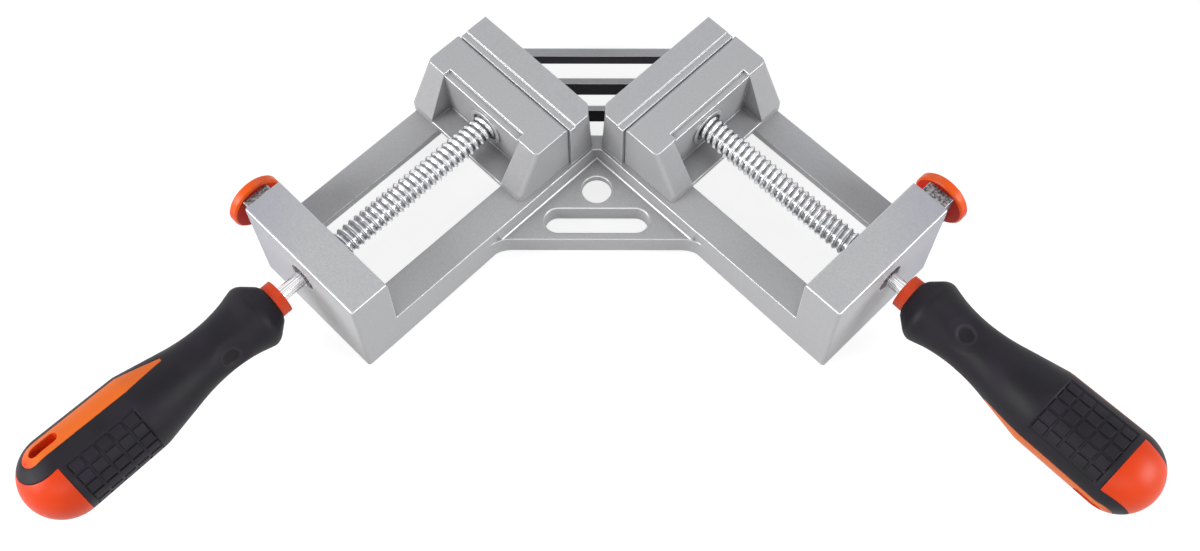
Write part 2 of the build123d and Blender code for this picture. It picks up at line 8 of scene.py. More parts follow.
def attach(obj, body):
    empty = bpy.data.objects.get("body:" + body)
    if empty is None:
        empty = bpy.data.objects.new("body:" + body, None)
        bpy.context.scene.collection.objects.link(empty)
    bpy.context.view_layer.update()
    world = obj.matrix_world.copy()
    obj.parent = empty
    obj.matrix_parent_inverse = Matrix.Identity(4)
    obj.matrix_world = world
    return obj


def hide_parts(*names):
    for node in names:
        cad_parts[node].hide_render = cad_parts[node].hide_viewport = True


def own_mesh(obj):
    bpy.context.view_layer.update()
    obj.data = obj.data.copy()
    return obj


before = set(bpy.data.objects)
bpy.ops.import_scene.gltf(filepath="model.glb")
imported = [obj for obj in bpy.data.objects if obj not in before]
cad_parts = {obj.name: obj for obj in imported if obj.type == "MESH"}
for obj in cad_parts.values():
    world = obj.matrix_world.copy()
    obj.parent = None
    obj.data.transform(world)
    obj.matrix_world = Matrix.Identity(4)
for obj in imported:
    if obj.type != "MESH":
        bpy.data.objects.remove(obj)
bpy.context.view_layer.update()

# Studio: the clamp lies on a white table, seen from the front and high above.
# Large soft lamps stand over it; the white room shows in the bright metal.
CAMERA_PLACE = (0.002569, -0.313468, 0.576279)
CAMERA_PITCH = radians(64.0)
CAMERA_YAW = -0.004
CAMERA_ROLL = -0.002
CAMERA_LENS = 45.376
CAMERA_NEAR = 0.01
SENSOR_WIDTH = 36.0
LAMP_AIM = (0, 0, 0.03)
TABLE_HALF = 6.0
TABLE_TOP = -0.0005
TABLE_GREY = 0.32
TABLE_GLOW = 0.82

camera_data = bpy.data.cameras.new("studio_camera")
camera_data.sensor_width = SENSOR_WIDTH
camera_data.lens = CAMERA_LENS
camera_data.clip_start = CAMERA_NEAR
camera = bpy.data.objects.new("studio_camera", camera_data)
bpy.context.scene.collection.objects.link(camera)
ahead = Vector((
    sin(CAMERA_YAW) * cos(CAMERA_PITCH), cos(CAMERA_YAW) * cos(CAMERA_PITCH), -sin(CAMERA_PITCH)))
level = Vector((cos(CAMERA_YAW), -sin(CAMERA_YAW), 0))
above = level.cross(ahead)
camera_right = cos(CAMERA_ROLL) * level + sin(CAMERA_ROLL) * above
camera_up = cos(CAMERA_ROLL) * above - sin(CAMERA_ROLL) * level
camera_axes = Matrix((camera_right, camera_up, -ahead)).transposed().to_4x4()
camera.matrix_world = Matrix.Translation(CAMERA_PLACE) @ camera_axes
bpy.context.scene.camera = camera
bpy.context.scene.view_settings.view_transform = "Standard"


def lamp(name, place, size, power, tint=(1, 1, 1)):
    """A soft square lamp that looks at the clamp's middle."""
    data = bpy.data.lights.new(name, "AREA")
    data.shape = "RECTANGLE"
    data.size, data.size_y = size
    data.energy = power
    data.color = tint
    made = bpy.data.objects.new(name, data)
    bpy.context.scene.collection.objects.link(made)
    turn = (Vector(place) - Vector(LAMP_AIM)).to_track_quat("Z", "Y").to_matrix().to_4x4()
    made.matrix_world = Matrix.Translation(place) @ turn


lamp("lamp_left", (-0.95, -0.40, 0.50), (0.6, 0.5), 9.7)
lamp("lamp_right", (0.95, -0.40, 0.50), (0.6, 0.5), 7.6, (0.97, 0.98, 1.0))
lamp("lamp_front", (0.0, -0.95, 0.60), (0.9, 0.3), 2.4)
lamp("lamp_back", (0.0, 0.95, 0.65), (1.1, 0.4), 2.2, (0.90, 0.93, 1.0))


def put(tree, kind, sockets=None, **settings):
    """Adds a node to a tree, with its settings and with values or links for its sockets."""
    made = tree.nodes.new(kind)
    for name, value in settings.items():
        setattr(made, name, value)
    for name, value in (sockets or {}).items():
        if isinstance(value, bpy.types.NodeSocket):
            tree.links.new(value, made.inputs[name])
        else:
            made.inputs[name].default_value = value
    return made


def calc(tree, operation, *values):
    """Adds a Math node and gives back its output."""
    return put(tree, "ShaderNodeMath", dict(enumerate(values)), operation=operation).outputs[0]


def dot(tree, first, second):
    """The dot product of two vectors."""
    return put(tree, "ShaderNodeVectorMath", {0: first, 1: second}, operation="DOT_PRODUCT").outputs["Value"]


def spread(tree, value, low, high, to_low=0.0, to_high=1.0):
    """Maps a value from one range to another."""
    return put(tree, "ShaderNodeMapRange", {
        "Value": value, "From Min": low, "From Max": high, "To Min": to_low, "To Max": to_high}).outputs[0]


def is_seen(tree):
    """1 where the eye meets a surface, also in gloss or through glass, and 0 where it only gives light."""
    path = put(tree, "ShaderNodeLightPath").outputs
    seen = calc(tree, "MAXIMUM", path["Is Camera Ray"], path["Is Glossy Ray"])
    return calc(tree, "MAXIMUM", seen, path["Is Transmission Ray"])


def new_material(name):
    """A material without nodes yet, and its tree."""
    material = bpy.data.materials.new(name)
    material.use_nodes = True
    material.node_tree.nodes.clear()
    return material, material.node_tree


world = bpy.data.worlds.new("white_room")
bpy.context.scene.world = world
world.use_nodes = True
tree = world.node_tree
tree.nodes.clear()
from_behind = dot(tree, put(tree, "ShaderNodeTexCoord").outputs["Generated"], (0.0, 0.45, 0.9))
room_level = spread(tree, from_behind, -0.2, 0.9, 0.10, 0.37)
room_light = put(tree, "ShaderNodeBackground", {
    "Color": (1, 1, 1, 1), "Strength": calc(tree, "MAXIMUM", room_level, is_seen(tree))})
put(tree, "ShaderNodeOutputWorld", {"Surface": room_light.outputs[0]})

table_paper, tree = new_material("table_paper")
paper_body = put(tree, "ShaderNodeBsdfDiffuse", {"Color": (TABLE_GREY, TABLE_GREY, TABLE_GREY, 1)})
paper_glow = put(tree, "ShaderNodeEmission", {"Strength": calc(tree, "MULTIPLY", is_seen(tree), TABLE_GLOW)})
paper_all = put(tree, "ShaderNodeAddShader", {0: paper_body.outputs[0], 1: paper_glow.outputs[0]})
put(tree, "ShaderNodeOutputMaterial", {"Surface": paper_all.outputs[0]})
table_mesh = bpy.data.meshes.new("table")
table_mesh.from_pydata([
    (-TABLE_HALF, -TABLE_HALF, TABLE_TOP), (TABLE_HALF, -TABLE_HALF, TABLE_TOP),
    (TABLE_HALF, TABLE_HALF, TABLE_TOP), (-TABLE_HALF, TABLE_HALF, TABLE_TOP)], [], [(0, 1, 2, 3)])
table_mesh.materials.append(table_paper)
table = bpy.data.objects.new("table", table_mesh)
bpy.context.scene.collection.objects.link(table)

# Base casting: one piece of die-cast aluminium with both fixed jaws, rails and end blocks.
# It is sprayed with silver-grey metallic lacquer, and painted highlights lighten its edges.
# The moving jaws are cast and sprayed the same way.


def colour(red, green, blue):
    """A colour from its screen values of 0 to 255."""
    def linear(value):
        part = value / 255
        return part / 12.92 if part <= 0.04045 else ((part + 0.055) / 1.055) ** 2.4
    return (linear(red), linear(green), linear(blue), 1.0)


CAST_NODES = ("base_casting", "left_moving_jaw", "right_moving_jaw")
PAINT_LIGHT = colour(186, 186, 187)
PAINT_DARK = colour(176, 176, 178)
PAINTED_EDGE_HIGHLIGHT = colour(238, 238, 240)
PAINT_CLOUD = colour(160, 162, 178)
PAINTED_BACK_SHADE = colour(148, 148, 151)
PAINTED_FAR_END_SHADE = colour(146, 147, 168)
CORNER_SHADE = colour(92, 92, 95)
DEEP_SHADE = colour(58, 57, 61)
RIB_SHADE_NEAR, RIB_SHADE_FAR = colour(31, 30, 35), colour(82, 81, 87)
RIBS_FROM, RIBS_TO = 0.020, 0.065
FLAT_SIDES = ((1, 0, 0), (0, 1, 0), (0, 0, 1), (sqrt(0.5), sqrt(0.5), 0), (sqrt(0.5), -sqrt(0.5), 0))


def effect(name, inputs, outputs):
    """A new shader node group with named inputs and outputs."""
    group = bpy.data.node_groups.new(name, "ShaderNodeTree")
    for label, kind, value in inputs:
        socket = group.interface.new_socket(label, in_out="INPUT", socket_type=kind)
        socket.default_value = value
    for label, kind in outputs:
        group.interface.new_socket(label, in_out="OUTPUT", socket_type=kind)
    return group, put(group, "NodeGroupInput").outputs, put(group, "NodeGroupOutput").inputs


def own_place(tree):
    """The piece's own coordinates, in metres."""
    return put(tree, "ShaderNodeTexCoord").outputs["Object"]


def parts_of(tree, vector):
    """The X, Y and Z of a vector."""
    return put(tree, "ShaderNodeSeparateXYZ", {0: vector}).outputs


# Rounded edges: a mask of the sharp edges, open ones more than inner corners, and a softened normal
rounded_edges, given, wanted = effect(
    "rounded_edges",
    [("Width", "NodeSocketFloat", 0.0005), ("Gain", "NodeSocketFloat", 3.0)],
    [("Mask", "NodeSocketFloat"), ("Hollow", "NodeSocketFloat"), ("Normal", "NodeSocketVector")])
tree = rounded_edges
soft_normal = put(tree, "ShaderNodeBevel", {"Radius": given["Width"]}, samples=8).outputs[0]
agree = dot(tree, soft_normal, put(tree, "ShaderNodeNewGeometry").outputs["Normal"])
bend = calc(tree, "MULTIPLY", calc(tree, "SUBTRACT", 1.0, agree), given["Gain"])
near_air = put(tree, "ShaderNodeAmbientOcclusion", {"Distance": 0.0012}, samples=6, only_local=True)
open_bend = calc(tree, "MULTIPLY", bend, spread(tree, near_air.outputs["AO"], 0.45, 0.8))
wide_air = put(tree, "ShaderNodeAmbientOcclusion", {"Distance": 0.006}, samples=6, only_local=True)
tree.links.new(put(tree, "ShaderNodeClamp", {"Value": open_bend}).outputs[0], wanted["Mask"])
tree.links.new(calc(tree, "SUBTRACT", 1.0, wide_air.outputs["AO"]), wanted["Hollow"])
tree.links.new(soft_normal, wanted["Normal"])

# Fine grain: a fine speckle, a slow waviness and broad clouds on the piece's own coordinates
fine_grain, given, wanted = effect(
    "fine_grain",
    [("Grain Size", "NodeSocketFloat", 0.0006), ("Wave Size", "NodeSocketFloat", 0.004),
     ("Cloud Size", "NodeSocketFloat", 1 / 18)],
    [("Speckle", "NodeSocketFloat"), ("Wave", "NodeSocketFloat"), ("Cloud", "NodeSocketFloat")])
tree = fine_grain
on_piece = own_place(tree)
for label, size, detail in (
    ("Speckle", "Grain Size", 2.0), ("Wave", "Wave Size", 1.0), ("Cloud", "Cloud Size", 2.0),
):
    noise = put(tree, "ShaderNodeTexNoise", {
        "Vector": on_piece, "Scale": calc(tree, "DIVIDE", 1.0, given[size]), "Detail": detail})
    tree.links.new(noise.outputs[0], wanted[label])


def use(tree, group, **values):
    """Places an effect in a material with its own values."""
    made = put(tree, "ShaderNodeGroup", node_tree=group)
    for name, value in values.items():
        made.inputs[name.replace("_", " ")].default_value = value
    return made.outputs


def blend_colour(tree, factor, first, second):
    """Mixes two colours by a mask."""
    return put(tree, "ShaderNodeMix", {0: factor, 6: first, 7: second}, data_type="RGBA").outputs[2]


def bump(tree, height, strength, distance, normal=None):
    """A relief of the surface, on top of another normal if one is given."""
    made = put(tree, "ShaderNodeBump", {"Height": height, "Strength": strength, "Distance": distance})
    if normal is not None:
        tree.links.new(normal, made.inputs["Normal"])
    return made.outputs[0]


def give_shader(tree, sockets):
    """Ends a material with its shader, from values or links for the shader's sockets."""
    shader = put(tree, "ShaderNodeBsdfPrincipled", sockets)
    put(tree, "ShaderNodeOutputMaterial", {"Surface": shader.outputs[0]})


def dress(node_name, material):
    """Gives a CAD node its material."""
    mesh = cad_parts[node_name].data
    mesh.materials.clear()
    mesh.materials.append(material)


cast_paint, tree = new_material("cast_paint")
edges = use(tree, rounded_edges, Width=0.0007, Gain=7.0)
grain = use(tree, fine_grain, Grain_Size=0.0007, Wave_Size=0.0024)
paint = blend_colour(tree, spread(tree, grain["Speckle"], 0.35, 0.65), PAINT_DARK, PAINT_LIGHT)
paint = blend_colour(tree, spread(tree, grain["Cloud"], 0.3, 0.7, 0.0, 0.10), paint, PAINT_CLOUD)
paint = blend_colour(tree, spread(tree, edges["Hollow"], 0.15, 0.9, 0.0, 0.55), paint, CORNER_SHADE)
deep = put(tree, "ShaderNodeAmbientOcclusion", {"Distance": 0.035}, samples=8, only_local=True)
paint = blend_colour(tree, spread(tree, deep.outputs["AO"], 0.12, 0.52, 0.6, 0.0), paint, DEEP_SHADE)
# Painted shade: the lacquer is painted a little darker towards the back of the casting, and darker and bluer
# at the blocks' far ends
facing = put(tree, "ShaderNodeNewGeometry").outputs["Normal"]
place = parts_of(tree, own_place(tree))
paint = blend_colour(tree, spread(tree, place["Y"], -0.05, 0.05, 0.0, 0.32), paint, PAINTED_BACK_SHADE)
to_side = calc(tree, "ABSOLUTE", place["X"])
paint = blend_colour(tree, spread(tree, to_side, 0.112, 0.150, 0.0, 0.6), paint, PAINTED_FAR_END_SHADE)
# The rounds and chamfers of the casting's long edges lie askew to all its flat sides, and get the painted
# highlight too
squareness = 0.0
for flat_side in FLAT_SIDES:
    squareness = calc(tree, "MAXIMUM", squareness, calc(tree, "ABSOLUTE", dot(tree, facing, flat_side)))
long_edges = spread(tree, squareness, 0.78, 0.86, 0.45, 0.0)
# Painted highlight: the sharp edges and the long rounds are painted near white
edge_highlight = calc(tree, "MAXIMUM", calc(tree, "MULTIPLY", edges["Mask"], 0.7), long_edges)
paint = blend_colour(tree, edge_highlight, paint, PAINTED_EDGE_HIGHLIGHT)
# Painted shade: the fronts of the ribs and of the web between the arms are painted dark, darkest towards the
# front, and are also made rougher and more metallic
faces_front = spread(tree, parts_of(tree, facing)["Y"], -0.95, -0.85, 1.0, 0.0)
shaded_rib_front = calc(tree, "MULTIPLY", faces_front, spread(tree, place["Y"], RIBS_FROM, RIBS_FROM + 0.002))
rib_shade_colour = blend_colour(tree, spread(tree, place["Y"], RIBS_FROM, RIBS_TO), RIB_SHADE_NEAR, RIB_SHADE_FAR)
paint_gloss = spread(tree, grain["Speckle"], 0.3, 0.7, 0.36, 0.44)
orange_peel = bump(tree, grain["Wave"], 0.4, 0.0003, edges["Normal"])
give_shader(tree, {
    "Base Color": blend_colour(tree, shaded_rib_front, paint, rib_shade_colour),
    "Roughness": calc(tree, "MULTIPLY_ADD", shaded_rib_front, 0.5, paint_gloss),
    "Metallic": calc(tree, "MAXIMUM", spread(tree, edge_highlight, 0.0, 1.0, 0.2, 1.0), shaded_rib_front),
    "Normal": bump(tree, grain["Speckle"], 0.14, 0.00015, orange_peel)})
for cast_node in CAST_NODES:
    dress(cast_node, cast_paint)

# Keeper plates, keeper screws, pins and springs: plain bright steel from strip, rod and wire.
# They hold each moving jaw down on its rails and tie the screw to the jaw and the slider to the block.
steels = {}
for metal_name, nodes, light, dark, rough in (
    ("steel_strip", ("keeper_plate",), colour(168, 170, 172), colour(140, 141, 144), 0.36),
    ("zinc_screws", ("keeper_screws",), colour(186, 188, 190), colour(160, 162, 166), 0.28),
    ("steel_pins", ("retaining_pin", "release_stop_pin"), colour(176, 177, 180), colour(150, 151, 154), 0.25),
    ("spring_steel", ("release_spring",), colour(128, 130, 134), colour(98, 99, 103), 0.30),
):
    steel, tree = new_material(metal_name)
    steels[metal_name] = steel
    edges = use(tree, rounded_edges, Width=0.0003, Gain=2.5)
    grain = use(tree, fine_grain, Grain_Size=0.0004, Wave_Size=0.003)
    metal = blend_colour(tree, spread(tree, grain["Speckle"], 0.3, 0.7), dark, light)
    # Painted highlight: the sharp edges are painted lighter
    give_shader(tree, {
        "Base Color": blend_colour(tree, edges["Mask"], metal, colour(225, 226, 228)),
        "Roughness": spread(tree, grain["Wave"], 0.3, 0.7, rough, rough + 0.12),
        "Metallic": 1.0,
        "Normal": bump(tree, grain["Speckle"], 0.15, 0.0001, edges["Normal"])})
    for side in ("left", "right"):
        for node_name in nodes:
            dress(f"{side}_{node_name}", steel)

# Clamp screws: steel rod with a rolled thread of 3 mm pitch, zinc plated and bright.
# The thread runs through the end block, and a thinner neck joins it to the handle.
# Sizes are in millimetres from here on, measured along an arm: a outwards, c along the jaw.
MM = 0.001
SCREW_C = 47.5
SCREW_HEIGHT = 34.0
ROD_START = 6.7
SHOULDER = 17.7
BLOCK_END = 118.2
THREAD_END = 117.4
PITCH = 3.0
CREST = 5.8
ROOT = 4.75
NECK = 3.1
JOURNAL = 4.6
HANDLE_START = BLOCK_END + 9.5
TANG_END = HANDLE_START + 44.0
ROD_CHAMFER = 0.4
TANG_CHAMFER = 0.5
OVERLAP = 0.2
EDGE_RING = 0.2
RUN_OUT = 20.0
ROD_MARK = 1.0
NECK_MARK = 2.0
ZINC_LIGHT = colour(250, 250, 252)
ZINC_DARK = colour(228, 229, 232)
ZINC_ROOT_SHADE = colour(120, 120, 124)
ZINC_NECK = colour(254, 254, 255)
ZINC_REFLECTION_LINE = colour(84, 84, 88)


def arm_frame(side, a=0.0, c=0.0, z=0.0, roll=0.0):
    """Axes at a point of an arm, in metres: Z out along the screw, X up, rolled towards the far end."""
    mirror = 1 if side == "right" else -1
    out = Vector((mirror / sqrt(2), -1 / sqrt(2), 0))
    far = Vector((mirror / sqrt(2), 1 / sqrt(2), 0))
    up = Vector((0, 0, 1))
    x_axis = up * cos(roll) + far * sin(roll)
    y_axis = out.cross(x_axis)
    place = (out * a + far * c + up * z) * MM
    return Matrix.Translation(place) @ Matrix((x_axis, y_axis, out)).transposed().to_4x4()


def finished(name, mesh, material, body, slot, *replaced):
    """Links a finished mesh as a piece that rides on a body and stands for CAD nodes."""
    made = bpy.data.objects.new(name, mesh)
    bpy.context.scene.collection.objects.link(made)
    mesh.materials.clear()
    mesh.materials.append(material)
    for face in mesh.polygons:
        face.material_index = 0
    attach(made, body)
    if replaced:
        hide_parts(*replaced)
    return made


def new_geometry_tree(name, inputs):
    """A geometry node tree with named inputs; gives back the tree, its inputs and its output."""
    made = bpy.data.node_groups.new(name, "GeometryNodeTree")
    made.interface.new_socket("Geometry", in_out="INPUT", socket_type="NodeSocketGeometry")
    for label, kind in inputs:
        made.interface.new_socket(label, in_out="INPUT", socket_type=kind)
    made.interface.new_socket("Geometry", in_out="OUTPUT", socket_type="NodeSocketGeometry")
    return made, put(made, "NodeGroupInput").outputs, put(made, "NodeGroupOutput").inputs


def end_geometry_tree(tree, geometry, material, wanted):
    """Ends a geometry node tree with real meshes in their material."""
    realized = put(tree, "GeometryNodeRealizeInstances", {"Geometry": geometry})
    coated = put(tree, "GeometryNodeSetMaterial", {"Geometry": realized.outputs[0], "Material": material})
    tree.links.new(coated.outputs[0], wanted["Geometry"])


def grown_mesh(name, made, values):
    """Runs a geometry node tree with its inputs and gives back the plain mesh."""
    seed = bpy.data.objects.new(name + "_seed", bpy.data.meshes.new(name + "_seed"))
    bpy.context.scene.collection.objects.link(seed)
    modifier = seed.modifiers.new("grow", "NODES")
    modifier.node_group = made
    for item in made.interface.items_tree:
        if item.item_type == "SOCKET" and item.in_out == "INPUT" and item.name in values:
            modifier[item.identifier] = values[item.name]
    bpy.context.view_layer.update()
    evaluated = seed.evaluated_get(bpy.context.evaluated_depsgraph_get())
    mesh = bpy.data.meshes.new_from_object(evaluated)
    mesh.name = name
    seed.modifiers.remove(modifier)
    bpy.data.objects.remove(seed)
    return mesh


rolled_thread, given, wanted = new_geometry_tree("rolled_thread", [
    ("Thread Start", "NodeSocketFloat"), ("Thread End", "NodeSocketFloat"), ("Pitch", "NodeSocketFloat"),
    ("Root Radius", "NodeSocketFloat"), ("Crest Radius", "NodeSocketFloat"), ("Steps Along", "NodeSocketInt"),
    ("Steps Around", "NodeSocketInt"), ("Material", "NodeSocketMaterial")])
tree = rolled_thread
grid = put(tree, "GeometryNodeMeshGrid", {
    "Size X": 1.0, "Size Y": 1.0, "Vertices X": given["Steps Along"], "Vertices Y": given["Steps Around"]})
flat_place = parts_of(tree, put(tree, "GeometryNodeInputPosition").outputs[0])
along = calc(tree, "ADD", flat_place["X"], 0.5)
around = calc(tree, "ADD", flat_place["Y"], 0.5)
angle = calc(tree, "MULTIPLY", around, 2 * pi)
thread_length = calc(tree, "SUBTRACT", given["Thread End"], given["Thread Start"])
distance = calc(tree, "MULTIPLY", along, calc(tree, "ADD", thread_length, given["Pitch"]))
turned_back = calc(tree, "MULTIPLY", calc(tree, "SUBTRACT", around, 1.0), given["Pitch"])
distance_z = calc(tree, "ADD", distance, turned_back)
# The ridge is 1 on the crest and 0 at the root
phase = calc(tree, "FRACT", calc(tree, "DIVIDE", distance, given["Pitch"]))
off_crest = calc(tree, "ABSOLUTE", calc(tree, "SUBTRACT", phase, 0.5))
ridge = put(tree, "ShaderNodeMapRange", {
    "Value": off_crest, "From Min": 0.02, "From Max": 0.44, "To Min": 1.0, "To Max": 0.0},
    interpolation_type="SMOOTHSTEP").outputs[0]
ridge_height = calc(tree, "SUBTRACT", given["Crest Radius"], given["Root Radius"])
radius = calc(tree, "MULTIPLY_ADD", ridge, ridge_height, given["Root Radius"])
# Beyond either end the radius runs out to nothing, which closes the thread there
to_end = calc(tree, "SUBTRACT", thread_length, distance_z)
for from_end in (distance_z, to_end):
    run_out = calc(tree, "MAXIMUM", calc(tree, "MULTIPLY", from_end, RUN_OUT), 0.0)
    radius = calc(tree, "MINIMUM", radius, run_out)
kept_z = calc(tree, "MINIMUM", calc(tree, "MAXIMUM", distance_z, 0.0), thread_length)
thread_place = put(tree, "ShaderNodeCombineXYZ", {
    "X": calc(tree, "MULTIPLY", radius, calc(tree, "COSINE", angle)),
    "Y": calc(tree, "MULTIPLY", radius, calc(tree, "SINE", angle)),
    "Z": calc(tree, "ADD", kept_z, given["Thread Start"])})
stored = put(tree, "GeometryNodeStoreNamedAttribute", {
    "Geometry": grid.outputs["Mesh"], "Name": "ridge", "Value": ridge}, data_type="FLOAT", domain="POINT")
shaped = put(tree, "GeometryNodeSetPosition", {
    "Geometry": stored.outputs[0], "Position": thread_place.outputs[0]})
welded = put(tree, "GeometryNodeMergeByDistance", {"Geometry": shaped.outputs[0], "Distance": 0.000004})
smooth = put(tree, "GeometryNodeSetShadeSmooth", {"Geometry": welded.outputs[0], "Shade Smooth": True})
end_geometry_tree(tree, smooth.outputs[0], given["Material"], wanted)


def turned_shell(points, around=64):
    """A closed turned body from (distance, radius) points, about Z, in metres; ends lie on the axis."""
    shell = bmesh.new()
    rings = []
    for distance, ring_radius in points:
        if ring_radius == 0:
            rings.append([shell.verts.new((0, 0, distance * MM))] * around)
        else:
            rings.append([shell.verts.new((ring_radius * MM * cos(2 * pi * k / around),
                                           ring_radius * MM * sin(2 * pi * k / around), distance * MM))
                          for k in range(around)])
    for first, second in zip(rings, rings[1:]):
        for k in range(around):
            after = (k + 1) % around
            corners = list(dict.fromkeys((first[k], first[after], second[after], second[k])))
            if len(corners) > 2:
                shell.faces.new(corners)
    bmesh.ops.recalc_face_normals(shell, faces=shell.faces)
    return shell


zinc_screw_rod, tree = new_material("zinc_screw_rod")
grain = use(tree, fine_grain, Grain_Size=0.0012, Wave_Size=0.006)
wavy = grain["Wave"]
ridge = put(tree, "ShaderNodeAttribute", attribute_name="ridge").outputs["Fac"]
is_neck = spread(tree, ridge, 1.2, 1.8)
zinc = blend_colour(tree, spread(tree, grain["Speckle"], 0.35, 0.65), ZINC_DARK, ZINC_LIGHT)
# Painted shade: the thread's roots are painted darker
zinc = blend_colour(tree, spread(tree, ridge, 0.0, 0.25), ZINC_ROOT_SHADE, zinc)
zinc = blend_colour(tree, is_neck, zinc, ZINC_NECK)
# Painted reflections: fine dark lines are painted along the thread's flanks, and long dark streaks along the
# neck
flank_reflection_line = spread(tree, calc(tree, "SINE", calc(tree, "MULTIPLY", ridge, 5 * pi)), 0.1, 0.8, 0.0, 0.62)
flank_reflections = calc(tree, "MULTIPLY", flank_reflection_line, spread(tree, wavy, 0.35, 0.6, 0.4, 1.0))
height = parts_of(tree, own_place(tree))["Z"]
streak_noise = put(tree, "ShaderNodeTexNoise", {
    "W": calc(tree, "DIVIDE", height, 0.0009), "Detail": 1.0}, noise_dimensions="1D")
neck_streaks = calc(tree, "MULTIPLY", spread(tree, streak_noise.outputs[0], 0.50, 0.56, 0.0, 0.9), is_neck)
lines = calc(tree, "MAXIMUM", calc(tree, "MULTIPLY", flank_reflections, calc(tree, "SUBTRACT", 1.0, is_neck)), neck_streaks)
ripple = calc(tree, "MULTIPLY", grain["Speckle"], calc(tree, "MULTIPLY_ADD", is_neck, -0.9, 1.0))
give_shader(tree, {
    "Base Color": blend_colour(tree, lines, zinc, ZINC_REFLECTION_LINE),
    "Roughness": calc(tree, "MULTIPLY_ADD", is_neck, -0.06, spread(tree, wavy, 0.3, 0.7, 0.14, 0.26)),
    "Metallic": 1.0,
    "Normal": bump(tree, ripple, 0.35, 0.0002)})

for side in ("left", "right"):
    thread_mesh = grown_mesh(f"{side}_thread", rolled_thread, {
        "Thread Start": SHOULDER * MM, "Thread End": THREAD_END * MM, "Pitch": PITCH * MM,
        "Root Radius": ROOT * MM, "Crest Radius": CREST * MM, "Steps Along": 412, "Steps Around": 61,
        "Material": zinc_screw_rod})
    # A second ring close to each end keeps the shading of the long sides straight
    rod = turned_shell([
        (ROD_START, 0), (ROD_START, JOURNAL - ROD_CHAMFER), (ROD_START + ROD_CHAMFER, JOURNAL),
        (ROD_START + ROD_CHAMFER + EDGE_RING, JOURNAL), (SHOULDER + OVERLAP - EDGE_RING, JOURNAL),
        (SHOULDER + OVERLAP, JOURNAL), (SHOULDER + OVERLAP, 0)])
    tang_side = TANG_END - TANG_CHAMFER
    neck = turned_shell([
        (THREAD_END - OVERLAP, 0), (THREAD_END - OVERLAP, NECK), (THREAD_END - OVERLAP + EDGE_RING, NECK),
        (tang_side - EDGE_RING, NECK), (tang_side, NECK), (TANG_END, NECK - TANG_CHAMFER), (TANG_END, 0)])
    whole = bmesh.new()
    whole.from_mesh(thread_mesh)
    ridge_layer = whole.verts.layers.float.get("ridge")
    bmesh.ops.recalc_face_normals(whole, faces=whole.faces)
    for shell, mark in ((rod, ROD_MARK), (neck, NECK_MARK)):
        first_new = len(whole.verts)
        shell_mesh = bpy.data.meshes.new("turned")
        shell.to_mesh(shell_mesh)
        shell.free()
        whole.from_mesh(shell_mesh)
        whole.verts.ensure_lookup_table()
        for vertex in whole.verts[first_new:]:
            vertex[ridge_layer] = mark
    whole.transform(arm_frame(side, c=SCREW_C, z=SCREW_HEIGHT))
    for face in whole.faces:
        face.smooth = True
    whole.to_mesh(thread_mesh)
    whole.free()
    finished(
        f"{side}_threaded_rod", thread_mesh, zinc_screw_rod, f"{side}_screw", "zinc_screw_rod",
        f"{side}_clamp_screw")

# Handle cores: hard orange plastic moulded round the screw's end, seen as collar, stripes and cap.
# The collar and the cap are painted redder than the long stripes as painted shade, and the hanging slot's
# walls are fluted.
COLLAR = 4.3
COLLAR_RADIUS = 7.3
COLLAR_RIBS = 72
HANDLE_SEAT = {"left": 2.0, "right": -2.0}
HANDLE_ROLL = {"left": radians(25.0), "right": radians(-105.0)}
BAND_END = 113.5
CAP_START = 100.3
SLOT_AT = 99.0
SLOT_LONG = 12.5
SLOT_WIDE = 5.0
FLUTE_PITCH = 0.8


def handle_frame(side):
    """Axes of a handle in metres: Z along it from the collar's free end, X through the first stripe."""
    return arm_frame(side, HANDLE_START + HANDLE_SEAT[side], SCREW_C, SCREW_HEIGHT, HANDLE_ROLL[side])


def handle_place(tree, side):
    """The handle's own coordinates in millimetres, from object coordinates."""
    own = own_place(tree)
    turned = handle_frame(side).inverted()
    lined = [dot(tree, own, tuple(turned[row][:3])) for row in range(3)]
    return [calc(tree, "MULTIPLY", calc(tree, "ADD", lined[row], turned[row][3]), 1 / MM) for row in range(3)]


